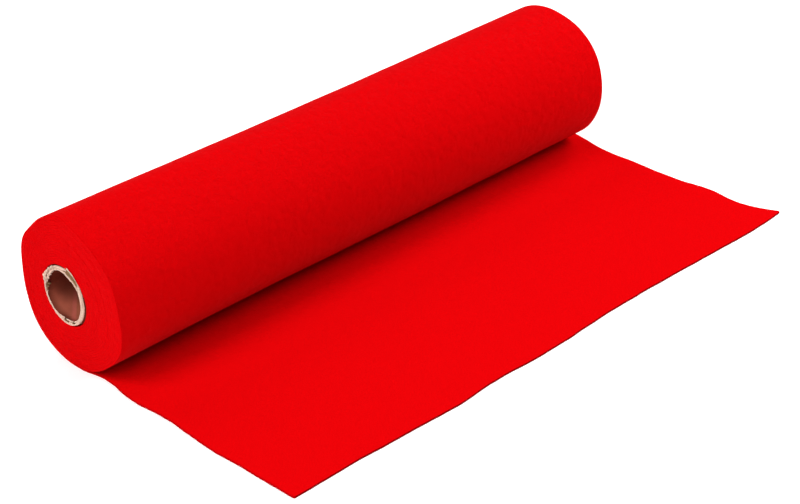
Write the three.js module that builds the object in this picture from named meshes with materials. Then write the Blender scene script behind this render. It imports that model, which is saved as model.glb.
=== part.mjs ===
// A roll of felt on its paper tube, with the outer end drawn out flat over the surface that it rests on.
// Millimetres, +Z up. The tube runs along X, and the felt draws out towards -Y.
// The origin is on the surface, under the middle of the roll.

import * as THREE from "three";

const FELT_WIDTH = 450;
const FELT_THICKNESS = 1.5;

// The wound form, without the layer that leaves from under it, and how far it settles on the surface.
const WOUND_RADIUS = 49.5;
const SETTLED = 0.5;
const AXIS_HEIGHT = WOUND_RADIUS + FELT_THICKNESS - SETTLED;

// The tube sits a little off the middle of the windings.
const TUBE_RADIUS = 20;
const TUBE_WALL = 3;
const TUBE_BACK = 4.5;
const TUBE_DROP = 1.0;
const TUBE_CLEARANCE = 0.45;
const TORN_DEPTH = 4;

const STATIONS = 24;
const WOUND_STEPS = 72;
const LAID_ROWS = 20;
const TUBE_SIDES = 60;

const FELT_COLOUR = 0xe3060c;
const TUBE_COLOUR = 0xb98f6f;

// How far the windings stand out or sit in, at the roll's two ends and in its middle.
// angle is in degrees about the tube: 0 is the back, 90 the top, 180 the front, -90 the underside.
const BULGES = [
  { angle: -82, left: 0.0, middle: 0.0, right: 0.0 },
  { angle: -60, left: 0.6, middle: 0.3, right: 0.2 },
  { angle: -40, left: 0.2, middle: 0.2, right: 0.3 },
  { angle: -20, left: -2.2, middle: -0.3, right: 0.1 },
  { angle: 5, left: -3.6, middle: -1.2, right: -0.4 },
  { angle: 30, left: -1.0, middle: -1.0, right: 0.2 },
  { angle: 50, left: -1.4, middle: -0.6, right: 0.9 },
  { angle: 70, left: 1.3, middle: -0.4, right: 0.2 },
  { angle: 87, left: 3.3, middle: 0.2, right: -0.8 },
  { angle: 103, left: 0.6, middle: 0.1, right: -1.7 },
  { angle: 125, left: -0.1, middle: -0.2, right: -1.0 },
  { angle: 145, left: 0.3, middle: 0.0, right: -0.3 },
  { angle: 172, left: -1.4, middle: -0.4, right: -0.2 },
  { angle: 203, left: 0.7, middle: -0.6, right: 1.2 },
  { angle: 230, left: -0.9, middle: -1.7, right: 2.0 },
  { angle: 250, left: -0.3, middle: -0.7, right: 1.0 },
  { angle: 262, left: 0.0, middle: 0.0, right: 0.0 },
];

// How far each side of the laid end strays from straight. out is the distance from under the tube.
const SIDE_EDGES = [
  { out: 7, left: 0.0, right: 0.0 },
  { out: 20, left: 2.2, right: 6.5 },
  { out: 31, left: 2.6, right: 4.6 },
  { out: 44, left: 1.2, right: 1.3 },
  { out: 58, left: -0.1, right: -0.8 },
  { out: 80, left: 1.4, right: -2.0 },
  { out: 104, left: 0.1, right: -3.0 },
  { out: 128, left: -1.2, right: -2.2 },
  { out: 148, left: -0.4, right: 0.4 },
  { out: 178, left: -0.1, right: -2.2 },
  { out: 194, left: 0.5, right: 2.0 },
  { out: 204, left: 0.5, right: 6.0 },
];

// The cut end. along is the share of the width from the left side.
const CUT_END = [
  { along: 0.0, out: 193.2 },
  { along: 0.1, out: 195.0 },
  { along: 0.2, out: 197.2 },
  { along: 0.3, out: 199.6 },
  { along: 0.35, out: 198.3 },
  { along: 0.45, out: 200.7 },
  { along: 0.6, out: 199.2 },
  { along: 0.8, out: 203.0 },
  { along: 0.95, out: 205.8 },
  { along: 1.0, out: 203.6 },
];

// The tube's torn left rim: how far it stands out of the felt, and how far it is torn in from the bore.
const TORN_RIM = [
  { angle: -90, proud: 0.6, torn: 0.3 },
  { angle: -60, proud: 0.3, torn: 0.0 },
  { angle: -20, proud: 0.4, torn: 0.9 },
  { angle: 12, proud: 0.7, torn: 0.6 },
  { angle: 30, proud: 2.0, torn: 0.2 },
  { angle: 48, proud: 1.1, torn: 0.4 },
  { angle: 80, proud: 0.7, torn: 0.0 },
  { angle: 120, proud: 0.9, torn: 0.7 },
  { angle: 150, proud: 0.4, torn: 0.2 },
  { angle: 200, proud: 0.6, torn: 0.0 },
  { angle: 240, proud: 0.8, torn: 0.5 },
  { angle: 270, proud: 0.6, torn: 0.3 },
];

// The value of a column between two rows of a table, eased so that the curve has no corners.
function between(table, keyColumn, key, valueColumn) {
  const last = table[table.length - 1];
  if (key <= table[0][keyColumn]) return table[0][valueColumn];
  if (key >= last[keyColumn]) return last[valueColumn];
  const next = table.findIndex((row) => row[keyColumn] > key);
  const a = table[next - 1];
  const b = table[next];
  const share = (key - a[keyColumn]) / (b[keyColumn] - a[keyColumn]);
  const eased = THREE.MathUtils.smoothstep(share, 0, 1);
  return THREE.MathUtils.lerp(a[valueColumn], b[valueColumn], eased);
}

// The half angle of the flat that a circle of this radius leaves when its middle is at this height above a plane.
function flatHalfAngle(radius, height) {
  return THREE.MathUtils.radToDeg(Math.acos(height / radius));
}

const OUTER_FLAT = flatHalfAngle(WOUND_RADIUS + FELT_THICKNESS, AXIS_HEIGHT);
const INNER_FLAT = flatHalfAngle(WOUND_RADIUS, AXIS_HEIGHT - FELT_THICKNESS);
const WOUND_FROM = -90 + OUTER_FLAT;
const WOUND_TO = 270 - INNER_FLAT;
const LEAVES_AT = WOUND_RADIUS * Math.sin(THREE.MathUtils.degToRad(INNER_FLAT));

// The outside of the windings: one layer further in after each full turn.
function woundPoint(along, step) {
  const angle = THREE.MathUtils.lerp(WOUND_FROM, WOUND_TO, step / WOUND_STEPS);
  const turned = (angle - WOUND_FROM) / (WOUND_TO - WOUND_FROM);
  const nearEnd = along < 0.5 ? "left" : "right";
  const towardsEnd = THREE.MathUtils.smoothstep(Math.abs(2 * along - 1), 0, 1);
  const bulge = THREE.MathUtils.lerp(
    between(BULGES, "angle", angle, "middle"),
    between(BULGES, "angle", angle, nearEnd),
    towardsEnd,
  );
  const radius = WOUND_RADIUS + FELT_THICKNESS * (1 - turned) + bulge;
  const radians = THREE.MathUtils.degToRad(angle);
  return new THREE.Vector3(
    (along - 0.5) * FELT_WIDTH,
    radius * Math.cos(radians),
    AXIS_HEIGHT + radius * Math.sin(radians),
  );
}

// A point of the laid end. row 0 is where it leaves the windings, and the last row is the cut end.
function laidPoint(along, row, height) {
  const end = between(CUT_END, "along", along, "out");
  const out = THREE.MathUtils.lerp(LEAVES_AT, end, row / LAID_ROWS);
  const left = between(SIDE_EDGES, "out", out, "left") - FELT_WIDTH / 2;
  const right = between(SIDE_EDGES, "out", out, "right") + FELT_WIDTH / 2;
  return new THREE.Vector3(THREE.MathUtils.lerp(left, right, along), -out, height);
}

// The windings from the underside round to where the laid end leaves, out along its top and back along its underside.
function feltOutline(along) {
  const points = [];
  for (let step = 0; step <= WOUND_STEPS; step++) {
    points.push(woundPoint(along, step));
  }
  for (let row = 1; row <= LAID_ROWS; row++) {
    points.push(laidPoint(along, row, FELT_THICKNESS));
  }
  for (let row = LAID_ROWS; row >= 0; row--) {
    points.push(laidPoint(along, row, 0));
  }
  return points;
}

// A point about the tube's middle.
function tubePoint(x, radius, angle) {
  const radians = THREE.MathUtils.degToRad(angle);
  return new THREE.Vector3(
    x,
    TUBE_BACK + radius * Math.cos(radians),
    AXIS_HEIGHT - TUBE_DROP + radius * Math.sin(radians),
  );
}

// Angles once round, from the first one on.
function anglesRound(first, sides) {
  return Array.from({ length: sides }, (_, side) => first + (360 * side) / sides);
}

// The felt's bore round the tube. Its sides match those of the windings.
function boreRing(x) {
  const angles = anglesRound(WOUND_FROM, WOUND_STEPS + 2);
  return angles.map((angle) => tubePoint(x, TUBE_RADIUS + TUBE_CLEARANCE, angle));
}

function tubeRing(x, radius) {
  return anglesRound(-90, TUBE_SIDES).map((angle) => tubePoint(x, radius, angle));
}

// The torn rim's outer or inner edge. pulledIn is how much of the tearing this edge takes.
function tornRing(radius, pulledIn) {
  return anglesRound(-90, TUBE_SIDES).map((angle) => {
    const proud = between(TORN_RIM, "angle", angle, "proud");
    const torn = between(TORN_RIM, "angle", angle, "torn");
    return tubePoint(-FELT_WIDTH / 2 - proud + pulledIn * torn, radius + pulledIn * torn, angle);
  });
}

// Collects points and triangles into one closed surface.
class Surface {
  constructor() {
    this.positions = [];
    this.index = [];
  }

  addPoints(points) {
    const first = this.positions.length / 3;
    points.forEach((point) => this.positions.push(point.x, point.y, point.z));
    return points.map((_, i) => first + i);
  }

  // A band between two closed loops of the same length.
  band(loopA, loopB) {
    loopA.forEach((a, i) => {
      const next = (i + 1) % loopA.length;
      this.quad(a, loopB[i], loopB[next], loopA[next]);
    });
  }

  quad(a, b, c, d) {
    this.index.push(a, b, c, a, c, d);
  }

  geometry() {
    const geometry = new THREE.BufferGeometry();
    geometry.setAttribute("position", new THREE.Float32BufferAttribute(this.positions, 3));
    geometry.setIndex(this.index);
    geometry.computeVertexNormals();
    return geometry;
  }
}

// One end of the felt: a ring from the windings in to the bore, and a strip along the laid end's side.
function closeFeltEnd(surface, outline, bore, flip) {
  const foot = outline[outline.length - 1];
  const rim = [...outline.slice(0, WOUND_STEPS + 1), foot];
  const quad = (a, b, c, d) => (flip ? surface.quad(d, c, b, a) : surface.quad(a, b, c, d));
  rim.forEach((point, i) => {
    const next = (i + 1) % rim.length;
    quad(point, rim[next], bore[next], bore[i]);
  });
  for (let row = 0; row < LAID_ROWS; row++) {
    const top = outline[WOUND_STEPS + row];
    const topNext = outline[WOUND_STEPS + row + 1];
    const under = outline[outline.length - 1 - row];
    const underNext = outline[outline.length - 2 - row];
    quad(top, topNext, underNext, under);
  }
}

function feltGeometry() {
  const surface = new Surface();
  const outlines = [];
  for (let station = 0; station <= STATIONS; station++) {
    outlines.push(surface.addPoints(feltOutline(station / STATIONS)));
  }
  for (let station = 0; station < STATIONS; station++) {
    surface.band(outlines[station + 1], outlines[station]);
  }
  const boreLeft = surface.addPoints(boreRing(-FELT_WIDTH / 2));
  const boreRight = surface.addPoints(boreRing(FELT_WIDTH / 2));
  surface.band(boreLeft, boreRight);
  closeFeltEnd(surface, outlines[0], boreLeft, true);
  closeFeltEnd(surface, outlines[STATIONS], boreRight, false);
  return surface.geometry();
}

function tubeGeometry() {
  const surface = new Surface();
  const half = FELT_WIDTH / 2;
  const inside = TUBE_RADIUS - TUBE_WALL;
  const outerLeft = surface.addPoints(tornRing(TUBE_RADIUS, 0));
  const outerRight = surface.addPoints(tubeRing(half, TUBE_RADIUS));
  const innerLeft = surface.addPoints(tornRing(inside, 1));
  const innerWhole = surface.addPoints(tubeRing(-half + TORN_DEPTH, inside));
  const innerRight = surface.addPoints(tubeRing(half, inside));
  surface.band(outerRight, outerLeft);
  surface.band(innerLeft, innerWhole);
  surface.band(innerWhole, innerRight);
  surface.band(outerLeft, innerLeft);
  surface.band(innerRight, outerRight);
  return surface.geometry();
}

function namedMesh(name, geometry, colour, roughness) {
  const material = new THREE.MeshStandardMaterial({ color: colour, roughness, metalness: 0 });
  const mesh = new THREE.Mesh(geometry, material);
  mesh.name = name;
  return mesh;
}

const roll = new THREE.Group();
roll.add(namedMesh("felt", feltGeometry(), FELT_COLOUR, 0.95));
roll.add(namedMesh("core_tube", tubeGeometry(), TUBE_COLOUR, 0.85));

export default roll;
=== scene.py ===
"""Looks of a roll of felt: the whole length of cloth, wound and drawn out, on its torn paper tube."""

import math

import bpy
import numpy as np
from bpy.props import FloatProperty, FloatVectorProperty, PointerProperty
from mathutils import Matrix, Vector, noise


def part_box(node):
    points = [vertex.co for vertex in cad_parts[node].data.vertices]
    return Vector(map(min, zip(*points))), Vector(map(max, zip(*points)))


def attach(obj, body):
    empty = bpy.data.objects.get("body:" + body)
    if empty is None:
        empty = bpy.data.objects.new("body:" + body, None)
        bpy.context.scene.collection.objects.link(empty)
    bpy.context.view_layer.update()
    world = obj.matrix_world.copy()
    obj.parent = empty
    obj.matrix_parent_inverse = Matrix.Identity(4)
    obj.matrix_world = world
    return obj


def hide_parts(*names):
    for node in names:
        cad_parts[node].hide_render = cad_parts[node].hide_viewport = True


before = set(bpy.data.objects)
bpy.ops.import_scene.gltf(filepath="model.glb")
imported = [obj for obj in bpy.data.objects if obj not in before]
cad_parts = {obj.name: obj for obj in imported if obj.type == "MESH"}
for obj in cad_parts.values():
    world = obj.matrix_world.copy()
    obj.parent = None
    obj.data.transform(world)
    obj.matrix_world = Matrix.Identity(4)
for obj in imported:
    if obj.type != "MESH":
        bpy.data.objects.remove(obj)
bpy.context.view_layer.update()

bl_info = {
    "name": "Roll of Felt",
    "version": (1, 0, 0),
    "blender": (4, 5, 0),
    "location": "View3D > Sidebar > Felt",
    "description": "Winds a length of felt on a paper tube and draws its end out flat",
    "category": "Add Mesh",
}

MM = 0.001


def named_rows(columns, *rows):
    """A table of numbers with a name for each column."""
    return [dict(zip(columns, row)) for row in rows]


# How far the windings stand out or sit in, in mm, at the roll's two ends and in its middle.
# angle is in degrees about the tube: 0 is the back, 90 the top, 180 the front, -90 the underside.
BULGES = named_rows(
    ("angle", "left", "middle", "right"),
    (-82, 0.0, 0.0, 0.0),
    (-60, 0.6, 0.3, 0.2),
    (-40, 0.2, 0.2, 0.3),
    (-20, -2.2, -0.3, 0.1),
    (5, -3.6, -1.2, -0.4),
    (30, -1.0, -1.0, 0.2),
    (50, -1.4, -0.6, 0.9),
    (70, 1.3, -0.4, 0.2),
    (87, 3.3, 0.2, -0.8),
    (103, 0.6, 0.1, -1.7),
    (125, -0.1, -0.2, -1.0),
    (145, 0.3, 0.0, -0.3),
    (172, -1.4, -0.4, -0.2),
    (203, 0.7, -0.6, 1.2),
    (230, -0.9, -1.7, 2.0),
    (250, -0.3, -0.7, 1.0),
    (262, 0.0, 0.0, 0.0),
)

# The outer turn hangs a little slack along the roll's lower front, in mm. x is the distance from its middle.
SLACK = named_rows(
    ("x", "out"),
    (-160, 0.0),
    (-100, 0.6),
    (-50, 1.3),
    (0, 2.1),
    (50, 2.3),
    (80, 1.7),
    (110, 1.1),
    (150, 0.6),
    (185, 0.0),
)
SLACK_ANGLE = 231
SLACK_SPREAD = 48

# How far each side of the laid end strays from straight, in mm. out is the distance from under the tube.
SIDE_EDGES = named_rows(
    ("out", "left", "right"),
    (7, 0.0, 0.0),
    (20, 2.9, 7.0),
    (31, 2.6, 5.3),
    (44, 0.4, 2.0),
    (58, -0.6, 0.1),
    (80, 1.2, -0.4),
    (104, -0.2, -1.5),
    (128, -1.6, -1.1),
    (148, -0.8, 1.5),
    (178, -0.5, -1.3),
    (194, -0.4, 2.7),
    (204, -0.7, 7.0),
)

# The cut end, in mm. along is the share of the width from the left side.
CUT_END = named_rows(
    ("along", "out"),
    (0.0, 194.2),
    (0.1, 195.2),
    (0.2, 197.8),
    (0.3, 200.0),
    (0.35, 198.8),
    (0.45, 201.2),
    (0.6, 200.1),
    (0.8, 203.3),
    (0.95, 206.3),
    (1.0, 205.4),
)

# The plies of the tube's wall and how far each stands out of the felt round the torn left rim, in mm.
# lean is how far the ply's edge leans out from the tube's middle.
OUTER_PLY = named_rows(
    ("angle", "proud", "lean"),
    (-90, 0.35, 0.0),
    (-45, 0.25, 0.0),
    (-12, 0.05, 0.4),
    (8, 0.1, 0.2),
    (14, 0.5, 0.2),
    (22, 0.8, 0.4),
    (32, 0.7, 0.3),
    (40, 0.4, -0.2),
    (55, 0.3, -0.6),
    (92, 0.35, -0.5),
    (98, 0.2, 0.0),
    (101, -1.0, 0.9),
    (104, 0.5, 2.7),
    (116, 0.5, 2.4),
    (128, 0.45, 1.4),
    (141, 0.35, 0.0),
    (154, 0.25, -1.0),
    (172, 0.25, -1.8),
    (205, 0.25, -1.6),
    (235, 0.3, -0.8),
    (270, 0.35, 0.0),
)
MIDDLE_PLY = named_rows(
    ("angle", "proud", "lean"),
    (-90, -1.0, 0.0),
    (-82, -1.0, 0.0),
    (-77, 0.3, 0.0),
    (-50, 0.2, 0.1),
    (0, 0.1, 0.4),
    (8, 0.1, 0.2),
    (16, 0.4, 0.1),
    (26, 0.6, 0.1),
    (36, 0.4, 0.0),
    (45, -0.2, 0.0),
    (88, 0.3, -0.3),
    (100, -0.4, 0.0),
    (107, -2.2, 0.3),
    (132, -1.8, 0.2),
    (142, 0.2, 0.0),
    (152, 0.3, -0.9),
    (170, 0.3, -1.7),
    (205, 0.3, -1.5),
    (235, 0.3, -0.4),
    (244, 0.3, 0.0),
    (247, -3.4, 0.0),
    (251, -3.4, 0.0),
    (254, 0.3, 0.0),
    (264, 0.3, 0.0),
    (270, -1.0, 0.0),
)
INNER_PLY = named_rows(
    ("angle", "proud", "lean"),
    (-90, 0.4, -0.9),
    (-87, 0.2, -0.8),
    (-84, -2.8, -0.2),
    (-80, 0.3, -0.8),
    (-65, 0.35, -0.6),
    (-56, 0.2, -0.2),
    (-46, 0.15, 0.3),
    (-16, 0.1, 0.5),
    (-9, -1.2, 0.3),
    (6, -1.6, 0.0),
    (13, 0.1, -0.2),
    (22, 0.2, -0.3),
    (34, 0.2, -0.3),
    (48, 0.3, -0.3),
    (62, 0.3, -0.2),
    (78, 0.5, -0.2),
    (92, 0.5, -0.4),
    (104, 0.5, -1.0),
    (117, 0.5, -1.3),
    (132, 0.5, -0.9),
    (147, 0.4, -0.8),
    (170, 0.3, -1.6),
    (205, 0.3, -1.4),
    (232, 0.3, -0.3),
    (244, 0.4, -0.2),
    (248, -4.0, 0.0),
    (252, 0.3, -0.4),
    (270, 0.4, -0.9),
)

# Rounded nubs of torn paper on the rim: where their middles are, in degrees and mm, and their sizes in mm.
NUBS = named_rows(
    ("angle", "radius", "proud", "wide", "thick", "deep"),
    (17, 18.8, 0.6, 3.0, 2.4, 2.0),
    (24, 19.0, 0.8, 3.8, 2.8, 2.4),
    (31, 19.1, 0.6, 2.8, 2.3, 1.9),
    (20, 17.6, 0.5, 2.4, 1.8, 1.6),
    (26, 16.4, 0.2, 1.7, 2.2, 1.4),
    (34, 16.7, 0.4, 1.8, 2.0, 1.5),
    (42, 16.4, 0.3, 1.9, 2.4, 1.5),
    (51, 16.7, 0.4, 2.0, 2.2, 1.5),
    (61, 17.2, 0.4, 2.3, 1.9, 1.5),
    (72, 17.4, 0.4, 2.6, 1.7, 1.4),
    (38, 18.9, 0.4, 2.2, 1.5, 1.4),
    (48, 19.2, 0.3, 2.8, 1.5, 1.3),
    (60, 19.3, 0.3, 3.0, 1.4, 1.3),
    (4, 17.1, -1.6, 1.0, 2.6, 2.0),
    (-3, 17.9, -1.2, 0.8, 1.6, 1.6),
    (225, 18.3, 0.2, 3.6, 1.1, 1.2),
    (176, 17.6, 0.2, 4.4, 0.9, 1.2),
)

# The inner strip's tint across its width, from its seam on: a pinkish glued lap, plain brown, then khaki.
SEAM_TINTS = [
    (0.0, (1.0, 1.0, 1.0)),
    (0.015, (1.25, 1.15, 1.35)),
    (0.035, (1.2, 1.1, 1.3)),
    (0.05, (1.0, 1.0, 1.0)),
    (0.92, (1.0, 1.02, 1.0)),
    (1.0, (0.86, 0.95, 0.86)),
]

# The paper's tint, with painted light along the bottom of the bore and painted shade from the upper height
# up.
# Both heights are shares of the tube's radius above its middle.
PAINTED_LIT_BORE = (1.05, 1.1, 1.1)
PAINTED_SHADED_BORE = (0.43, 0.22, 0.14)
PAINTED_LIT_BORE_TO = -0.95
PAINTED_SHADE_FROM = 0.25

# The paper's tint with painted shade just inside the rim, and how far in that fades out, in mm.
PAINTED_RIM_SHADE = (0.42, 0.32, 0.28)
PAINTED_RIM_SHADE_DEPTH = 5.0


class FeltSettings(bpy.types.PropertyGroup):
    width: FloatProperty(
        name="Width", description="Width of the felt, along the tube", default=0.45, unit="LENGTH"
    )
    length: FloatProperty(name="Length", description="Whole length of the felt", default=5.0, unit="LENGTH")
    thickness: FloatProperty(
        name="Thickness",
        description="Thickness of the felt where it lies flat",
        default=0.0015,
        unit="LENGTH",
    )
    wound_radius: FloatProperty(
        name="Wound radius",
        description="Radius of the windings without the layer that leaves from under them",
        default=0.0495,
        unit="LENGTH",
    )
    settled: FloatProperty(
        name="Settled",
        description="How far the roll sinks into its own flat underneath",
        default=0.0005,
        unit="LENGTH",
    )
    packing: FloatProperty(
        name="Packing",
        description="Share of each turn's room that the felt fills",
        default=0.985,
        subtype="FACTOR",
    )
    cut_rounding: FloatProperty(
        name="Cut rounding",
        description="How far the cut edges round in at their two faces",
        default=0.00012,
        unit="LENGTH",
    )
    colour: FloatVectorProperty(
        name="Colour", description="Colour of the felt", default=(0.59, 0.0010, 0.0023), subtype="COLOR"
    )
    deep_colour: FloatVectorProperty(
        name="Deep colour",
        description="Colour between the felt's fibres",
        default=(0.52, 0.0005, 0.0012),
        subtype="COLOR",
    )
    # The laid end's cut and side edges are coloured darker than the felt as painted shade, the cut end more
    # than the sides.
    cut_shade_colour: FloatVectorProperty(
        name="Cut colour",
        description="Colour of the laid end's cut edge",
        default=(0.27, 0.0010, 0.0016),
        subtype="COLOR",
    )
    side_shade_colour: FloatVectorProperty(
        name="Side colour",
        description="Colour of the laid end's two side edges",
        default=(0.46, 0.0010, 0.0020),
        subtype="COLOR",
    )


class TubeSettings(bpy.types.PropertyGroup):
    radius: FloatProperty(
        name="Radius", description="Outside radius of the paper tube", default=0.020, unit="LENGTH"
    )
    wall: FloatProperty(name="Wall", description="Thickness of the tube's wall", default=0.003, unit="LENGTH")
    back: FloatProperty(
        name="Set back",
        description="How far the tube sits behind the middle of the roll",
        default=0.0045,
        unit="LENGTH",
    )
    drop: FloatProperty(
        name="Drop",
        description="How far the tube sits below the middle of the roll",
        default=0.001,
        unit="LENGTH",
    )
    rim_colour: FloatVectorProperty(
        name="Rim colour",
        description="Colour of the torn paper",
        default=(0.80, 0.585, 0.475),
        subtype="COLOR",
    )
    bore_colour: FloatVectorProperty(
        name="Bore colour",
        description="Colour of the brown paper inside the tube",
        default=(0.44, 0.105, 0.062),
        subtype="COLOR",
    )
    ply_colour: FloatVectorProperty(
        name="Ply colour",
        description="Colour of the paper between the plies",
        default=(0.27, 0.16, 0.075),
        subtype="COLOR",
    )
    seam: FloatProperty(
        name="Seam", description="Where round the tube the spiral's seam starts, in turns", default=3.73
    )
    spiral: FloatProperty(
        name="Spiral",
        description="Length of tube that the paper strip's spiral turns once in",
        default=0.0865,
        unit="LENGTH",
    )


class StageSettings(bpy.types.PropertyGroup):
    azimuth: FloatProperty(
        name="Azimuth",
        description="Where the camera stands round the roll",
        default=math.radians(-45.732),
        subtype="ANGLE",
    )
    elevation: FloatProperty(
        name="Elevation",
        description="How high the camera looks from",
        default=math.radians(29.689),
        subtype="ANGLE",
    )
    tilt: FloatProperty(
        name="Tilt", description="Roll of the camera", default=math.radians(-0.858), subtype="ANGLE"
    )
    distance: FloatProperty(
        name="Distance", description="From the camera to its target", default=1.24643, unit="LENGTH"
    )
    lens: FloatProperty(name="Lens", description="Focal length on a 36 mm sensor, in mm", default=82.63)
    brightness: FloatProperty(
        name="Brightness", description="Strength of all the lamps together", default=1.0
    )
    table_glow: FloatProperty(
        name="Table glow", description="Light that the white table gives off", default=0.20
    )
    room_light: FloatProperty(
        name="Room light", description="Strength of the even light from all round", default=0.02
    )


def settings():
    scene = bpy.context.scene
    return scene.felt_roll_felt, scene.felt_roll_tube, scene.felt_roll_stage


def between(table, key, at, column, steady=False):
    """A column's value anywhere along a table, on a smooth curve, which never overshoots if steady."""
    keys = np.array([row[key] for row in table], float)
    values = np.array([row[column] for row in table], float)
    slopes = np.gradient(values, keys)
    if steady:
        rises = np.diff(values) / np.diff(keys)
        before, after = rises[:-1], rises[1:]
        same_way = before * after > 0
        slopes[[0, -1]] = 0
        slopes[1:-1] = np.where(same_way, 2 * before * after / np.where(same_way, before + after, 1), 0)
    at = np.clip(np.asarray(at, float), keys[0], keys[-1])
    after = np.clip(np.searchsorted(keys, at, side="right"), 1, len(keys) - 1)
    before = after - 1
    span = keys[after] - keys[before]
    t = (at - keys[before]) / span
    return (
        (2 * t**3 - 3 * t**2 + 1) * values[before]
        + (t**3 - 2 * t**2 + t) * span * slopes[before]
        + (3 * t**2 - 2 * t**3) * values[after]
        + (t**3 - t**2) * span * slopes[after]
    )


def smooth(t):
    """A smooth step from 0 to 1."""
    t = np.clip(t, 0, 1)
    return t * t * (3 - 2 * t)


def soft_max(a, b, width):
    """The larger of two lengths, with the corner between them rounded."""
    t = np.clip(0.5 + 0.5 * (a - b) / width, 0, 1)
    return b + (a - b) * t + width * t * (1 - t)


def window(at, start, full, fading, gone):
    """1 from full to fading, and 0 before start and after gone."""
    return smooth((at - start) / (full - start)) * smooth((gone - at) / (gone - fading))


def near_side(share, parts):
    """1 at a side, where share is 1, fading to 0 over the outermost of so many parts."""
    return smooth(share * parts - (parts - 1))


# How far apart in the noise two seeds that follow each other lie.
SEED_STEPS = (17.3, -9.1, 5.7)


def noise_at(points, size, seed):
    """Smooth noise from -1 to 1 at each point, size being that of its waves in the points' own unit."""
    shift = Vector([seed * step for step in SEED_STEPS])
    return np.array([noise.noise(Vector(p) / size + shift) for p in points])


def uneven(points, waves, other=0):
    """Several waves of noise, each with its height, size and seed. other makes another of the same kind."""
    return sum(height * noise_at(points, size, seed + other) for height, size, seed in waves)


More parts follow.
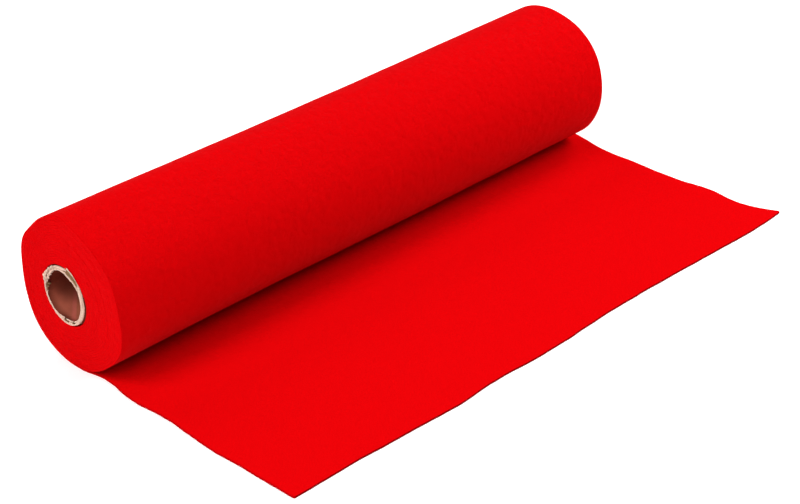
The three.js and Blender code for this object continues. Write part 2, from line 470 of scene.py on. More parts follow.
class Cloth:
    """Where the felt lies, in millimetres: one long sheet, wound inwards and laid outwards."""

    # From one section to the next, in degrees on hidden and on outer turns, and in mm on the laid end.
    INNER_STEP = 5.0
    OUTER_STEP = 2.5
    LAID_STEP = 3.5
    LAID_LENGTH = 200
    OVERLAP = 40
    CLOSE_TO_CUT = (2.4, 1.6, 0.9, 0.4)
    # The columns of hidden sections, as shares of the width, and how many parts each gap has where it shows.
    COARSE = [0.0, 0.002, 0.25, 0.5, 0.75, 0.998, 1.0]
    FINE_PER_GAP = [1, 30, 30, 30, 30, 1]
    EDGE_DEPTHS = [0.18, 0.5, 0.82]
    CUT_DEPTHS = (0.26, 0.74)
    CUT_ROUNDING = 1.6
    # Room round the tube in mm, the share of a turn that the last one stops short, and the flat underneath.
    CLEARANCE = 0.5
    INNER_END = 0.25
    FLAT_FADE = 0.3
    FLAT_ROUNDING = 0.2
    # The slack and pull of hand winding: height and size in mm, and seed. They are longer along the roll.
    WAVES = ((0.20, 26, 1), (0.05, 10, 2))
    WAVES_ALONG = 0.55
    # How far turns stand out at the roll's ends, in mm, over how many degrees that changes and settles in,
    # and how near the ends it shows, in parts of half the width.
    LEAN = 0.16
    LEAN_WAVE = 190
    LEAN_SEEDS = (0.3, 7.9)
    LEAN_PARTS = 8
    SETTLE_OVER = 90
    # The laid end's corners, ragged edges and slight rise off the table, in mm.
    CORNER = 1.6
    CORNER_INSET = 0.8
    CORNER_END = 0.999
    RAGGED_CUT = ((0.40, 13, 3), (0.22, 4.5, 3))
    RAGGED_SIDES = ((0.40, 13, 4), (0.22, 4.5, 4))
    RAGGED_OVER = 12
    RAGGED_PARTS = 30
    PRESSED = 0.10
    RISE_OVER = 25
    UNEVEN_TOP = ((0.05, 16, 5),)
    LIFT = ((0.12, 60, 6),)

    def __init__(self, felt, tube):
        self.width = felt.width / MM
        self.thickness = felt.thickness / MM
        self.radius = felt.wound_radius / MM
        self.settled = felt.settled / MM
        self.packing = felt.packing
        self.rounding = felt.cut_rounding / MM
        self.height = self.radius + self.thickness - self.settled
        self.tube_radius = tube.radius / MM + self.CLEARANCE
        self.back = tube.back / MM
        self.drop = tube.drop / MM
        self.first = -90 + math.degrees(math.acos(self.height / (self.radius + self.thickness)))
        self.leaves = 270 - math.degrees(math.acos((self.height - self.thickness) / self.radius))
        self.foot = self.radius * math.sin(math.radians(270 - self.leaves))
        laid = float(np.mean(between(CUT_END, "along", np.linspace(0, 1, 50), "out"))) + self.foot
        outer_turn = math.radians(self.leaves - self.first) * (self.radius + self.thickness / 2)
        pressed = 2 * math.pi * (self.tube_radius + self.thickness / 2) * (self.packing - self.INNER_END)
        hidden = felt.length / MM - laid - outer_turn - pressed
        self.turns = hidden / (math.pi * (self.radius + self.tube_radius))

    def share_in(self, turned):
        """0 where the cloth leaves from under the roll, 1 at the tube."""
        return (turned - self.leaves) / (360 * self.turns)

    def bulge(self, angle, across):
        """How far the outer turn stands out, with its slack."""
        left, middle, right = (between(BULGES, "angle", angle, side) for side in ("left", "middle", "right"))
        bulge = middle + (np.where(across < 0.5, left, right) - middle) * smooth(np.abs(2 * across - 1))
        slack = between(SLACK, "x", (across - 0.5) * self.width, "out", steady=True)
        return bulge + slack * smooth(1 - abs(angle - SLACK_ANGLE) / SLACK_SPREAD)

    def wound(self, turned, across, depth, detail):
        """Points on the windings, the innermost pressed thin on the tube. depth is 0 outside and 1 inside."""
        inwards = np.minimum(self.share_in(turned) + depth * self.packing / self.turns, 1)
        angle = (turned + 90) % 360 - 90
        way = math.radians(angle)
        x = (across - 0.5) * self.width
        bulge = self.bulge(angle, across)
        if detail:
            y, z = self.radius * math.cos(way), self.radius * math.sin(way)
            on_rim = np.stack([x * self.WAVES_ALONG, 0 * x + y, 0 * x + z], 1)
            bulge = bulge + np.clip(1 - inwards, 0, 1) ** 2 * uneven(on_rim, self.WAVES)
        plain = self.radius * (1 - inwards) + self.tube_radius * inwards
        radius = plain + bulge * (1 - inwards)
        middle = self.height - self.drop * inwards
        flat = self.settled * np.clip(1 - np.abs(inwards) / self.FLAT_FADE, 0, 1)
        lowest = np.maximum(middle - plain + flat, 0)
        z = soft_max(middle + radius * math.sin(way), lowest, self.FLAT_ROUNDING)
        return np.stack([x, self.back * inwards + radius * math.cos(way), z], 1)

    def laid(self, share, across, depth, pushed=0.0):
        """Points on the laid end. share is 0 behind the roll's foot and 1 at the cut end."""
        along = np.stack([across * self.width, 0 * across, 0 * across], 1)
        end = between(CUT_END, "along", across, "out") + uneven(along, self.RAGGED_CUT)
        out = -self.foot + (end + self.foot) * share + pushed
        left = between(SIDE_EDGES, "out", out, "left") - self.width / 2
        right = between(SIDE_EDGES, "out", out, "right") + self.width / 2
        corner = np.clip((out - end + self.CORNER) / self.CORNER, 0, self.CORNER_END)
        inset = self.CORNER * (1 - np.sqrt(1 - corner**2)) * self.CORNER_INSET
        x = left + inset + (right - left - 2 * inset) * across
        flat = np.stack([x, -out, 0 * x], 1)
        away = out - self.foot
        at_sides = near_side(np.abs(2 * across - 1), self.RAGGED_PARTS)
        x = x + uneven(flat, self.RAGGED_SIDES) * smooth(away / self.RAGGED_OVER) * at_sides
        rise = smooth(away / self.RISE_OVER)
        top = self.thickness - self.PRESSED + rise * uneven(flat, self.UNEVEN_TOP)
        lift = rise * np.maximum(uneven(flat, self.LIFT), 0)
        start = self.PRESSED * (1 - smooth((out + self.foot) / self.foot))
        return np.stack([x, -out, start + lift + top * depth], 1)

    def section(self, place, columns):
        """One closed loop across the cloth: outer face, one cut edge, inner face, the other cut edge."""
        columns = np.array(columns)
        edge = np.array(self.EDGE_DEPTHS)
        across = np.concatenate([columns, np.ones(len(edge)), columns[::-1], np.zeros(len(edge))])
        depth = np.concatenate([np.zeros(len(columns)), edge, np.ones(len(columns)), edge[::-1]])
        points = place(across, depth)
        inset = self.rounding * (2 * depth - 1) ** 2
        points[:, 0] += np.where(across == 0, inset, 0) - np.where(across == 1, inset, 0)
        return points

    def turn_section(self, turned, detail):
        """A section of the windings. Each turn stands out or sits in a little at the roll's ends."""
        columns = self.fine_columns() if detail else self.COARSE
        points = self.section(lambda a, d: self.wound(turned, a, d, detail), columns)
        share = near_side(np.abs(2 * (points[:, 0] / self.width)), self.LEAN_PARTS)
        settle = self.LEAN * smooth((turned - self.first) / self.SETTLE_OVER)
        drift = turned / self.LEAN_WAVE
        left, right = (noise.noise(Vector((drift, seed, 0))) * settle for seed in self.LEAN_SEEDS)
        points[:, 0] += np.where(points[:, 0] < 0, left, right) * share
        return points

    def fine_columns(self):
        """The columns of sections that show, as shares of the width."""
        columns = [self.COARSE[0]]
        for low, high, count in zip(self.COARSE, self.COARSE[1:], self.FINE_PER_GAP):
            columns += [low + (high - low) * (i + 1) / count for i in range(count)]
        return columns

    def sections(self):
        """The hidden turns' plain sections, from the inner end out, the fine ones, and how many are wound."""
        inner_end = self.leaves + 360 * (self.turns - self.INNER_END)
        outer_from = self.leaves + self.OVERLAP
        hidden = np.arange(outer_from + self.INNER_STEP, inner_end, self.INNER_STEP)[::-1]
        shown = np.arange(outer_from, self.first, -self.OUTER_STEP)
        plain = [self.turn_section(turned, False) for turned in hidden]
        fine = [self.turn_section(turned, True) for turned in shown]
        rows = round(2 * self.foot / self.LAID_STEP) + round(self.LAID_LENGTH / self.LAID_STEP)
        places = [lambda a, d, share=(i + 1) / rows: self.laid(share, a, d) for i in range(rows - 1)]
        for short in (*self.CLOSE_TO_CUT, self.rounding * self.CUT_ROUNDING):
            places.append(lambda a, d, short=short: self.laid(1, a, d, -short))
        low, high = self.CUT_DEPTHS
        places.append(lambda a, d: self.laid(1, a, low + (high - low) * d))
        fine += [self.section(place, self.fine_columns()) for place in places]
        return plain, fine, len(shown)


def loop_faces(first_a, first_b, count):
    """Quads between two loops of the same length."""
    return [
        (first_a + i, first_a + (i + 1) % count, first_b + (i + 1) % count, first_b + i) for i in range(count)
    ]


def cap_faces(first, columns, edges, flip):
    """Closes a section across the cloth's thickness."""
    faces = []
    for i in range(columns - 1):
        a, b = first + i, first + i + 1
        c, d = first + 2 * columns + edges - 2 - i, first + 2 * columns + edges - 1 - i
        faces.append((a, b, c, d))
    right = [first + columns - 1 + i for i in range(edges + 2)]
    left = [first + 2 * columns + edges - 1 + i for i in range(edges + 1)] + [first]
    faces += [tuple(right), tuple(left)]
    return [tuple(reversed(f)) for f in faces] if flip else faces


def widening_faces(plain, fine, coarse_count, per_gap, edges):
    """Joins the last plain section to the first fine one."""
    faces = []
    fine_count = sum(per_gap) + 1

    def face_of_cloth(at_plain, at_fine, gaps):
        at = 0
        for gap, count in enumerate(gaps):
            a, b = at_plain + gap, at_plain + gap + 1
            middle = at + (count + 1) // 2
            for j in range(at, at + count):
                faces.append((a if j < middle else b, at_fine + j + 1, at_fine + j))
            faces.append((a, b, at_fine + middle))
            at += count

    face_of_cloth(plain, fine, per_gap)
    face_of_cloth(plain + coarse_count + edges, fine + fine_count + edges, per_gap[::-1])
    for side in range(2):
        a = plain + side * (coarse_count + edges) + coarse_count - 1
        b = fine + side * (fine_count + edges) + fine_count - 1
        for i in range(edges + 1):
            next_a = plain if side and i == edges else a + i + 1
            next_b = fine if side and i == edges else b + i + 1
            faces.append((a + i, next_a, next_b, b + i))
    return faces


def mesh_piece(name, points, faces, materials, slots=None):
    """A smooth-shaded mesh object, its points given in millimetres."""
    mesh = bpy.data.meshes.new(name)
    mesh.from_pydata((np.asarray(points) * MM).tolist(), [], faces)
    for material in materials:
        mesh.materials.append(material)
    if slots is not None:
        mesh.polygons.foreach_set("material_index", slots)
    mesh.polygons.foreach_set("use_smooth", [True] * len(mesh.polygons))
    mesh.validate()
    mesh.update()
    piece = bpy.data.objects.new(name, mesh)
    bpy.context.scene.collection.objects.link(piece)
    return piece


def feed(links, socket, value):
    """Gives a socket a value, or links it to the socket that gives it one."""
    if isinstance(value, bpy.types.NodeSocket):
        links.new(value, socket)
    else:
        socket.default_value = value


def math_node(nodes, links, operation, *values):
    """The result of a sum on one or two values or sockets."""
    node = nodes.new("ShaderNodeMath")
    node.operation = operation
    for socket, value in zip(node.inputs, values):
        feed(links, socket, value)
    return node.outputs[0]


def mixed_colour(nodes, links, share, first, second, blend="MIX"):
    """Two colours mixed by share, each a colour or a socket."""
    node = nodes.new("ShaderNodeMix")
    node.data_type = "RGBA"
    node.blend_type = blend
    feed(links, node.inputs["Factor"], share)
    for socket, colour in zip(node.inputs[6:8], (first, second)):
        feed(links, socket, colour if isinstance(colour, bpy.types.NodeSocket) else (*colour, 1))
    return node.outputs[2]


def step_up(nodes, links, value, low, high):
    """0 where value is low, 1 where it is high, with a smooth step between."""
    node = nodes.new("ShaderNodeMapRange")
    node.interpolation_type = "SMOOTHSTEP"
    node.inputs["From Min"].default_value = low
    node.inputs["From Max"].default_value = high
    links.new(value, node.inputs["Value"])
    return node.outputs["Result"]


# How the layers of fibres are turned, in radians, how far each fibre is drawn out, and how thin it is.
FIBRE_TURNS = ((0.2, 0.1, 0.5), (1.0, 0.5, 1.7), (0.5, -0.8, 2.7))
FIBRE_STRETCH = (1.0, 0.09, 1.0)
FIBRE_THINNESS = 8.0


def group_of_fibres():
    """Node group: long fibres lying every way over each other, and slow clumps under them."""
    name = "Tangled fibres"
    if name in bpy.data.node_groups:
        return bpy.data.node_groups[name]
    group = bpy.data.node_groups.new(name, "ShaderNodeTree")
    for label, default in (("Fibres per metre", 5000.0), ("Clumps per metre", 150.0)):
        socket = group.interface.new_socket(name=label, in_out="INPUT", socket_type="NodeSocketFloat")
        socket.default_value = default
    for label in ("Fibres", "Clumps"):
        group.interface.new_socket(name=label, in_out="OUTPUT", socket_type="NodeSocketFloat")
    nodes, links = group.nodes, group.links
    source = nodes.new("NodeGroupInput")
    result = nodes.new("NodeGroupOutput")
    place = nodes.new("ShaderNodeTexCoord")
    fibres = 0.0
    for turn in FIBRE_TURNS:
        stretch = nodes.new("ShaderNodeMapping")
        stretch.inputs["Rotation"].default_value = turn
        stretch.inputs["Scale"].default_value = FIBRE_STRETCH
        strands = nodes.new("ShaderNodeTexNoise")
        strands.inputs["Detail"].default_value = 1.5
        strands.inputs["Distortion"].default_value = 0.6
        links.new(place.outputs["Object"], stretch.inputs["Vector"])
        links.new(stretch.outputs[0], strands.inputs["Vector"])
        links.new(source.outputs["Fibres per metre"], strands.inputs["Scale"])
        from_line = math_node(nodes, links, "SUBTRACT", strands.outputs["Fac"], 0.5)
        off_line = math_node(nodes, links, "ABSOLUTE", from_line)
        fall = math_node(nodes, links, "MULTIPLY", off_line, FIBRE_THINNESS)
        layer = math_node(nodes, links, "SUBTRACT", 1.0, fall)
        fibres = math_node(nodes, links, "MAXIMUM", layer, fibres)
    clumps = nodes.new("ShaderNodeTexNoise")
    clumps.inputs["Detail"].default_value = 3.0
    links.new(place.outputs["Object"], clumps.inputs["Vector"])
    links.new(source.outputs["Clumps per metre"], clumps.inputs["Scale"])
    links.new(fibres, result.inputs["Fibres"])
    links.new(clumps.outputs["Fac"], result.inputs["Clumps"])
    return group


def tangled(nodes, fibres, clumps):
    """The group of fibres with so many fibres and clumps per metre."""
    tangle = nodes.new("ShaderNodeGroup")
    tangle.node_tree = group_of_fibres()
    tangle.inputs["Fibres per metre"].default_value = fibres
    tangle.inputs["Clumps per metre"].default_value = clumps
    return tangle


def raised(nodes, links, height, strength, distance):
    """A bump node that raises a surface by distance where height is 1."""
    bump = nodes.new("ShaderNodeBump")
    bump.inputs["Strength"].default_value = strength
    bump.inputs["Distance"].default_value = distance
    links.new(height, bump.inputs["Height"])
    return bump


def new_material(name, roughness, gloss):
    """A material with only a surface shader, and its nodes and links."""
    material = bpy.data.materials.new(name)
    material.use_nodes = True
    nodes, links = material.node_tree.nodes, material.node_tree.links
    nodes.clear()
    shader = nodes.new("ShaderNodeBsdfPrincipled")
    shader.inputs["Roughness"].default_value = roughness
    shader.inputs["Specular IOR Level"].default_value = gloss
    output = nodes.new("ShaderNodeOutputMaterial")
    links.new(shader.outputs[0], output.inputs["Surface"])
    return material, nodes, links, shader


def darkened(colour, shares):
    """A colour with only a share of its red, green and blue."""
    return tuple(c * share for c, share in zip(colour, shares))


def fibrous(nodes, links, shader, deep, light, fibres, clumps, clumpy, relief):
    """Colours a shader from deep between the fibres to light on them, and raises them by relief.

    clumpy is the clumps' share in the colour. Returns the colour's socket and the bump node.
    """
    tangle = tangled(nodes, fibres, clumps)
    share = nodes.new("ShaderNodeMix")
    share.inputs["Factor"].default_value = clumpy
    links.new(tangle.outputs["Fibres"], share.inputs[2])
    links.new(tangle.outputs["Clumps"], share.inputs[3])
    colour = mixed_colour(nodes, links, share.outputs[0], deep, light)
    links.new(colour, shader.inputs["Base Color"])
    bump = raised(nodes, links, tangle.outputs["Fibres"], strength=0.6, distance=relief)
    links.new(bump.outputs["Normal"], shader.inputs["Normal"])
    return colour, bump


def felt_material(name, felt, nap):
    """Pressed felt: matte, deep in colour, with a nap of tangled fibres. nap is its roughness, at most 1."""
    material, nodes, links, shader = new_material(name, roughness=1.0, gloss=0.0)
    shader.inputs["Sheen Weight"].default_value = 0.06
    shader.inputs["Sheen Roughness"].default_value = 0.3
    shader.inputs["Sheen Tint"].default_value = (1.0, 0.24, 0.26, 1.0)
    pairs = list(zip(felt.colour, felt.deep_colour))
    light = [(1 + nap) / 2 * c + (1 - nap) / 2 * d for c, d in pairs]
    deep = [(1 - nap) / 2 * c + (1 + nap) / 2 * d for c, d in pairs]
    look = {"fibres": 2600, "clumps": 190, "clumpy": 0.45, "relief": 0.00011 * nap}
    _, fine = fibrous(nodes, links, shader, deep, light, **look)
    strands = tangled(nodes, fibres=620, clumps=170)
    broad = raised(nodes, links, strands.outputs["Clumps"], strength=1.0, distance=0.0011 * nap)
    middling = raised(nodes, links, strands.outputs["Fibres"], strength=1.0, distance=0.00016 * nap)
    links.new(broad.outputs["Normal"], middling.inputs["Normal"])
    links.new(middling.outputs["Normal"], fine.inputs["Normal"])
    return material


def cut_felt_material(name, colour):
    """A cut edge of the laid felt, darker where one looks into the ends of its fibres and darker still with
    painted shade.
    """
    material, nodes, links, shader = new_material(name, roughness=1.0, gloss=0.0)
    deep = darkened(colour, (0.7, 0.7, 0.7))
    fibrous(nodes, links, shader, deep, colour, fibres=6000, clumps=900, clumpy=0.3, relief=0.0001)
    return material


def torn_paper_material(tube):
    """The pale torn edge of the tube's paper."""
    material, nodes, links, shader = new_material("torn_paper", roughness=0.95, gloss=0.1)
    light = tube.rim_colour
    deep = darkened(light, (0.42, 0.31, 0.24))
    fibrous(nodes, links, shader, deep, light, fibres=2600, clumps=900, clumpy=0.55, relief=0.00015)
    return material


def khaki_paper_material(tube):
    """The raw grey-brown paper of the plies' hidden faces."""
    material, nodes, links, shader = new_material("khaki_paper", roughness=0.95, gloss=0.1)
    light = tube.ply_colour
    deep = darkened(light, (0.6, 0.6, 0.6))
    fibrous(nodes, links, shader, deep, light, fibres=3000, clumps=700, clumpy=0.6, relief=0.0001)
    return material


def brown_paper_material(tube, middle, half):
    """The tube's brown paper, wound on a spiral, with its seam and with painted light and shade in the bore.
    half is half of its length in mm.
    """
    material, nodes, links, shader = new_material("brown_paper", roughness=0.85, gloss=0.15)
    light = tube.bore_colour
    deep = darkened(light, (0.72, 0.72, 0.72))
    look = {"fibres": 3000, "clumps": 260, "clumpy": 0.7, "relief": 0.00005}
    paper, _ = fibrous(nodes, links, shader, deep, light, **look)
    place = nodes.new("ShaderNodeTexCoord")
    split = nodes.new("ShaderNodeSeparateXYZ")
    links.new(place.outputs["Object"], split.inputs[0])
    sideways = math_node(nodes, links, "SUBTRACT", split.outputs["Y"], middle[0] * MM)
    upwards = math_node(nodes, links, "SUBTRACT", split.outputs["Z"], middle[1] * MM)
    angle = math_node(nodes, links, "ARCTAN2", upwards, sideways)
    turn = math_node(nodes, links, "DIVIDE", angle, 2 * math.pi)
    advance = math_node(nodes, links, "DIVIDE", split.outputs["X"], tube.spiral)
    ahead = math_node(nodes, links, "SUBTRACT", turn, advance)
    strips = math_node(nodes, links, "ADD", ahead, tube.seam)
    seam = nodes.new("ShaderNodeValToRGB")
    ends = seam.color_ramp.elements
    ends[0].position, ends[1].position = SEAM_TINTS[0][0], SEAM_TINTS[-1][0]
    ends[0].color, ends[1].color = (*SEAM_TINTS[0][1], 1), (*SEAM_TINTS[-1][1], 1)
    for at, tint in SEAM_TINTS[1:-1]:
        ends.new(at).color = (*tint, 1)
    links.new(math_node(nodes, links, "FRACT", strips), seam.inputs["Fac"])
    # Painted light along the bottom of the bore and painted shade towards its top, by height in the tube.
    radius = tube.radius
    height = step_up(nodes, links, upwards, PAINTED_LIT_BORE_TO * radius, PAINTED_SHADE_FROM * radius)
    painted_bore_shade = mixed_colour(nodes, links, height, PAINTED_LIT_BORE, PAINTED_SHADED_BORE)
    # Painted shade on the paper just inside the torn rim, fading out over the first few mm.
    inside = step_up(nodes, links, split.outputs["X"], -half * MM, (PAINTED_RIM_SHADE_DEPTH - half) * MM)
    painted_rim_shade_tint = mixed_colour(nodes, links, inside, PAINTED_RIM_SHADE, (1, 1, 1))
    for tint in (seam.outputs["Color"], painted_bore_shade, painted_rim_shade_tint):
        paper = mixed_colour(nodes, links, 1.0, paper, tint, blend="MULTIPLY")
    links.new(paper, shader.inputs["Base Color"])
    return material


class FELTROLL_OT_wind(bpy.types.Operator):
    """Wind the felt on its tube and lay its outer end out flat"""

    bl_idname = "felt_roll.wind"
    bl_label = "Wind felt"

    # The material slots, and how rough the laid end's upper face is next to the rest.
    OUTER_FACE, CUT, INNER_FACE, SIDE = 0, 1, 2, 3
    SMOOTHER = 0.35

    def execute(self, context):
        felt, tube, _ = settings()
        cloth = Cloth(felt, tube)
        plain, fine, laid_from = cloth.sections()
        columns = len(cloth.COARSE)
        fine_columns = sum(cloth.FINE_PER_GAP) + 1
        edges = len(cloth.EDGE_DEPTHS)
        count, fine_count = 2 * (columns + edges), 2 * (fine_columns + edges)
        fine_first = len(plain) * count
        faces = cap_faces(0, columns, edges, True)
        for i in range(len(plain) - 1):
            faces += loop_faces(i * count, (i + 1) * count, count)
        faces += widening_faces(fine_first - count, fine_first, columns, cloth.FINE_PER_GAP, edges)
        for i in range(len(fine) - 1):
            faces += loop_faces(fine_first + i * fine_count, fine_first + (i + 1) * fine_count, fine_count)
        # The windings are all one felt. On the laid end the face that is up, the sides and the cut differ.
        under, up = [self.OUTER_FACE] * (fine_columns - 1), [self.INNER_FACE] * (fine_columns - 1)
        side = [self.SIDE] * (edges + 1)
        slots = [self.OUTER_FACE] * (len(faces) - fine_count * (len(fine) - 1 - laid_from))
        slots += (under + side + up + side) * (len(fine) - 2 - laid_from)
        slots += [self.CUT] * fine_count
        end_faces = cap_faces(fine_first + (len(fine) - 1) * fine_count, fine_columns, edges, False)
        faces += end_faces
        slots += [self.CUT] * len(end_faces)
        # The cut end and the sides get copies of one edge material, darkened as painted shade, the cut end
        # the more.
        materials = [
            felt_material("pressed_felt", felt, nap=1.0),
            cut_felt_material("shaded_cut_end_felt", felt.cut_shade_colour),
            felt_material("smoother_felt", felt, nap=self.SMOOTHER),
            cut_felt_material("shaded_side_edge_felt", felt.side_shade_colour),
        ]
        piece = mesh_piece("felt_length", np.concatenate(plain + fine), faces, materials, slots)
        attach(piece, "root")
        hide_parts("felt")
        return {"FINISHED"}


class FELTROLL_OT_tube(bpy.types.Operator):
    """Make the paper tube, with its torn rim and parted plies"""

    bl_idname = "felt_roll.tube"
    bl_label = "Make tube"

    PLIES = (OUTER_PLY, MIDDLE_PLY, INNER_PLY)
    PLY_GAP = 0.08
    SIDES = 360
    # How far behind its torn rim each ring of a ply is, and how many more rings its far end has on each face.
    BEHIND_RIM = [9.0, 3.5, 1.6, 0.7, 0.25, 0.08]
    FAR_RINGS = 3
    # What is cut off a ply's corners, in mm: along and across at its far end, and across this near its rim.
    FAR_CORNER = (0.3, 0.15)
    RIM_CORNER = 0.12
    RIM_CORNER_WITHIN = 0.2
    # The torn edge's unevenness and the ply's crumples: height in mm, size as a share of the radius, seed.
    RAGGED = ((0.16, 0.10, 10), (0.14, 0.035, 20))
    CRUMPLED = ((0.10, 0.12, 30), (0.08, 0.04, 40))
    # How far behind its rim, in mm, a ply starts to lean in or out, and that as a share of how proud it is.
    LEAN_IN_FROM = 2.5
    LEAN_OUT_FROM = 0.6
    LEAN_PER_PROUD = 1.15
    # Where the plies part and thin, in degrees, and by how much for each mm that they lean.
    PARTED = (96, 104, 134, 144)
    THINNED = 0.5
    # Where the wall is worn thin from inside, in degrees, by what share, and how far in that reaches, in mm.
    WORN = (-80, -60, -2, 12)
    WORN_SHARE = 0.45
    WORN_DEPTH = 5.0
    # A ply is pale this near its rim, in mm, unless it is recessed or bent out beyond these.
    PALE_WITHIN = 0.8
    RECESSED = -0.45
    BENT_OUT = 1.0
    PALE, BROWN, KHAKI = 0, 1, 2
    # A nub's mesh and how uneven it is. One that sits deeper than RAW_NUB, in mm, shows raw paper.
    NUB_LOOPS, NUB_SIDES = 9, 12
    NUB_UNEVEN, NUB_WAVE = 0.35, 1.3
    RAW_NUB = -1

    def ply(self, number, radius, wall, half, middle):
        """Rings of one ply: its outer face, the torn rim and back along its inner face."""
        table, last = self.PLIES[number], len(self.PLIES) - 1
        outer = radius - wall * number / len(self.PLIES)
        inner = radius - wall * (number + 1) / len(self.PLIES) + (self.PLY_GAP if number < last else 0)
        angles = np.linspace(-90, 270, self.SIDES, endpoint=False)
        way = np.radians(angles)
        circle = np.stack([np.cos(way), np.sin(way), 0 * way], 1)
        proud = between(table, "angle", angles, "proud", steady=True)
        lean = between(table, "angle", angles, "lean", steady=True)
        rim = -half - proud - uneven(circle, self.RAGGED, number)
        crumple = uneven(circle, self.CRUMPLED, number)
        worn = window(angles, *self.WORN)
        leaning = np.where(lean < 0, self.LEAN_IN_FROM, self.LEAN_OUT_FROM)
        reach = np.maximum(np.maximum(proud, 0) * self.LEAN_PER_PROUD, leaning)
        reach = np.maximum(reach, self.WORN_DEPTH * worn)
        thinned = self.THINNED * window(angles, *self.PARTED) * np.clip(lean, -1, 1)
        thin_outside, thin_inside = thinned * (number == last), thinned * (number == 0)
        rings = []

        def ring(x, at):
            y, z = middle[0] + at * np.cos(way), middle[1] + at * np.sin(way)
            rings.append(np.stack([x + 0 * way, y, z], 1))

        def near_rim(behind, at, thin):
            worn_away = self.WORN_SHARE * worn * (radius - at)
            ring(rim + behind, at + smooth(1 - behind / reach) * (lean + crumple + worn_away + thin))

        short, corner = self.FAR_CORNER
        ring(half, (outer + inner) / 2)
        ring(half, outer - corner)
        ring(half - short, outer)
        for behind in self.BEHIND_RIM:
            cut = self.RIM_CORNER if behind < self.RIM_CORNER_WITHIN else 0
            near_rim(behind, outer - cut, thin_outside)
        near_rim(0.0, (outer + inner) / 2, (thin_outside + thin_inside) / 2)
        for behind in self.BEHIND_RIM[::-1]:
            cut = self.RIM_CORNER if behind < self.RIM_CORNER_WITHIN else 0
            near_rim(behind, inner + cut, thin_inside)
        ring(half - short, inner)
        ring(half, inner + corner)
        return rings, self.ply_slots(number, proud < self.RECESSED, lean > self.BENT_OUT)

    def ply_slots(self, number, recessed, bent_out):
        """Pale on the two ends and just behind the torn rim, brown in and outside, khaki between plies."""
        is_outer, is_inner = number == 0, number == len(self.PLIES) - 1
        pale = sum(behind <= self.PALE_WITHIN for behind in self.BEHIND_RIM)
        inner_face = self.FAR_RINGS + len(self.BEHIND_RIM)
        last_pale = inner_face + (2 if is_inner else pale)
        slots = []
        for i in range(2 * inner_face):
            shown = is_inner and i > inner_face or is_outer and i < inner_face
            face = self.BROWN if shown else self.KHAKI
            if i in (0, 2 * inner_face - 1):
                slots += [self.PALE] * self.SIDES
            elif inner_face - pale <= i < last_pale:
                on_lip = i > inner_face + 1
                hidden = recessed | bent_out if on_lip else recessed
                slots += [(self.BROWN if is_inner else face) if bare else self.PALE for bare in hidden]
            else:
                slots += [face] * self.SIDES
        return slots

    def nub(self, spec, half, middle):
        """A small crumpled lump of torn paper on the rim."""
        outward = math.radians(spec["angle"])
        own = Vector((spec["angle"], spec["radius"], 0))
        loops = []
        for turn in range(1, self.NUB_LOOPS + 1):
            along = math.pi * turn / (self.NUB_LOOPS + 1)
            for side in range(self.NUB_SIDES):
                around = 2 * math.pi * side / self.NUB_SIDES
                girth = math.sin(along)
                way = Vector((math.cos(along), girth * math.cos(around), girth * math.sin(around)))
                size = 0.5 * (1 + self.NUB_UNEVEN * noise.noise(way * self.NUB_WAVE + own))
                radius = spec["radius"] + spec["thick"] * size * way.y
                swing = outward + spec["wide"] * size * way.z / radius
                x = -half - spec["proud"] - spec["deep"] * size * way.x
                loops.append((x, middle[0] + radius * math.cos(swing), middle[1] + radius * math.sin(swing)))
        return np.array(loops)

    def nub_faces(self, first):
        """A nub's faces, from its first point: an end, the strips between its loops and the other end."""
        sides, last = self.NUB_SIDES, first + self.NUB_SIDES * (self.NUB_LOOPS - 1)
        faces = [tuple(first + i for i in range(sides))[::-1]]
        for loop in range(first, last, sides):
            faces += loop_faces(loop, loop + sides, sides)
        return faces + [tuple(last + i for i in range(sides))]

    def execute(self, context):
        felt, tube, _ = settings()
        half = felt.width / MM / 2
        low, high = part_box("core_tube")
        middle = ((low.y + high.y) / 2 / MM, (low.z + high.z) / 2 / MM)
        points, faces, slots = [], [], []
        for number in range(len(self.PLIES)):
            rings, ply_slots = self.ply(number, tube.radius / MM, tube.wall / MM, half, middle)
            first = len(points) * self.SIDES
            for i in range(len(rings)):
                after = (i + 1) % len(rings)
                faces += loop_faces(first + i * self.SIDES, first + after * self.SIDES, self.SIDES)
            points += rings
            slots += ply_slots
        for spec in NUBS:
            lump = self.nub_faces(sum(len(p) for p in points))
            points.append(self.nub(spec, half, middle))
            faces += lump
            slots += [self.PALE if spec["proud"] > self.RAW_NUB else self.KHAKI] * len(lump)
        brown = brown_paper_material(tube, middle, half)
        materials = [torn_paper_material(tube), brown, khaki_paper_material(tube)]
        piece = mesh_piece("paper_tube", np.concatenate(points), faces, materials, slots)
        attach(piece, "root")
        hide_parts("core_tube")
        return {"FINISHED"}


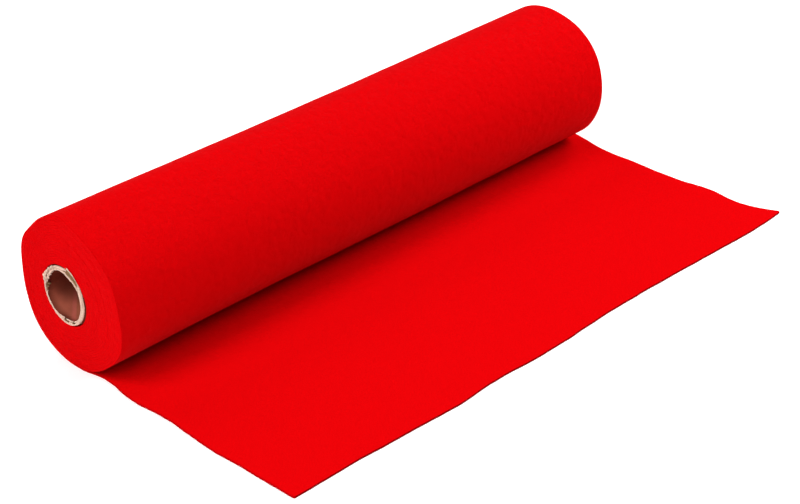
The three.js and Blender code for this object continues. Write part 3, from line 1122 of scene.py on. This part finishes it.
class FELTROLL_OT_stage(bpy.types.Operator):
    """Set the pale floor, the soft light and the camera"""

    bl_idname = "felt_roll.stage"
    bl_label = "Set stage"

    TARGET = Vector((0.01205, -0.04694, 0.0))
    FLOOR_SIDE = 8.0
    LAMPS = [
        {"name": "behind", "place": (0.0, 1.5, 1.5), "side": 1.2, "power": 16.0},
        {"name": "left", "place": (-2.0, 0.0, 0.9), "side": 1.0, "power": 18.5},
        {"name": "left_high", "place": (-1.3, 0.1, 1.6), "side": 0.8, "power": 24.0},
        {"name": "right", "place": (1.8, -0.3, 1.3), "side": 1.0, "power": 33.0},
        {"name": "right_front", "place": (1.4, -1.2, 1.4), "side": 1.0, "power": 37.0},
    ]

    def camera(self, context, stage):
        a, e, t = stage.azimuth, stage.elevation, stage.tilt
        back = Vector((math.sin(a) * math.cos(e), -math.cos(a) * math.cos(e), math.sin(e)))
        level = (-back).cross(Vector((0, 0, 1))).normalized()
        upright = level.cross(-back)
        right = math.cos(t) * level + math.sin(t) * upright
        up = -math.sin(t) * level + math.cos(t) * upright
        data = bpy.data.cameras.new("camera")
        data.lens = stage.lens
        data.sensor_width = 36
        camera = bpy.data.objects.new("camera", data)
        context.scene.collection.objects.link(camera)
        camera.matrix_world = Matrix.Translation(self.TARGET + back * stage.distance) @ Matrix(
            (right, up, back)
        ).transposed().to_4x4()
        context.scene.camera = camera

    def floor(self, stage):
        half = self.FLOOR_SIDE / 2 / MM
        corners = [(-half, -half, 0), (half, -half, 0), (half, half, 0), (-half, half, 0)]
        material, _, _, shader = new_material("pale_floor", roughness=1.0, gloss=0.0)
        shader.inputs["Base Color"].default_value = (0.93, 0.93, 0.93, 1)
        shader.inputs["Emission Color"].default_value = (1, 1, 1, 1)
        shader.inputs["Emission Strength"].default_value = stage.table_glow
        mesh_piece("pale_floor", corners, [(0, 1, 2, 3)], [material])

    def lamp(self, context, spec, brightness):
        data = bpy.data.lights.new(spec["name"], "AREA")
        data.size = spec["side"]
        data.energy = spec["power"] * brightness
        lamp = bpy.data.objects.new(spec["name"], data)
        context.scene.collection.objects.link(lamp)
        lamp.location = spec["place"]
        lamp.rotation_euler = (-Vector(spec["place"])).to_track_quat("-Z", "Y").to_euler()

    def execute(self, context):
        stage = settings()[2]
        self.camera(context, stage)
        self.floor(stage)
        for spec in self.LAMPS:
            self.lamp(context, spec, stage.brightness)
        world = bpy.data.worlds.new("even_light")
        world.use_nodes = True
        backdrop = world.node_tree.nodes["Background"]
        backdrop.inputs["Color"].default_value = (1, 1, 1, 1)
        backdrop.inputs["Strength"].default_value = stage.room_light
        context.scene.world = world
        context.scene.view_settings.view_transform = "Standard"
        return {"FINISHED"}


class FELTROLL_PT_panel(bpy.types.Panel):
    """Lists the roll's sizes and the steps that make it"""

    bl_label = "Roll of Felt"
    bl_idname = "FELTROLL_PT_panel"
    bl_space_type = "VIEW_3D"
    bl_region_type = "UI"
    bl_category = "Felt"

    def draw(self, context):
        for group in settings():
            box = self.layout.box()
            for name in group.bl_rna.properties.keys():
                if name not in {"name", "rna_type"}:
                    box.prop(group, name)
        for operator in OPERATORS:
            self.layout.operator(operator.bl_idname)


OPERATORS = (FELTROLL_OT_stage, FELTROLL_OT_wind, FELTROLL_OT_tube)
GROUPS = (
    ("felt_roll_felt", FeltSettings),
    ("felt_roll_tube", TubeSettings),
    ("felt_roll_stage", StageSettings),
)


def register():
    for name, group in GROUPS:
        bpy.utils.register_class(group)
        setattr(bpy.types.Scene, name, PointerProperty(type=group))
    for item in (*OPERATORS, FELTROLL_PT_panel):
        bpy.utils.register_class(item)


def unregister():
    for item in reversed((*OPERATORS, FELTROLL_PT_panel)):
        bpy.utils.unregister_class(item)
    for name, group in reversed(GROUPS):
        delattr(bpy.types.Scene, name)
        bpy.utils.unregister_class(group)


def main():
    register()
    bpy.ops.felt_roll.stage()
    bpy.ops.felt_roll.wind()
    bpy.ops.felt_roll.tube()


if __name__ == "__main__":
    main()
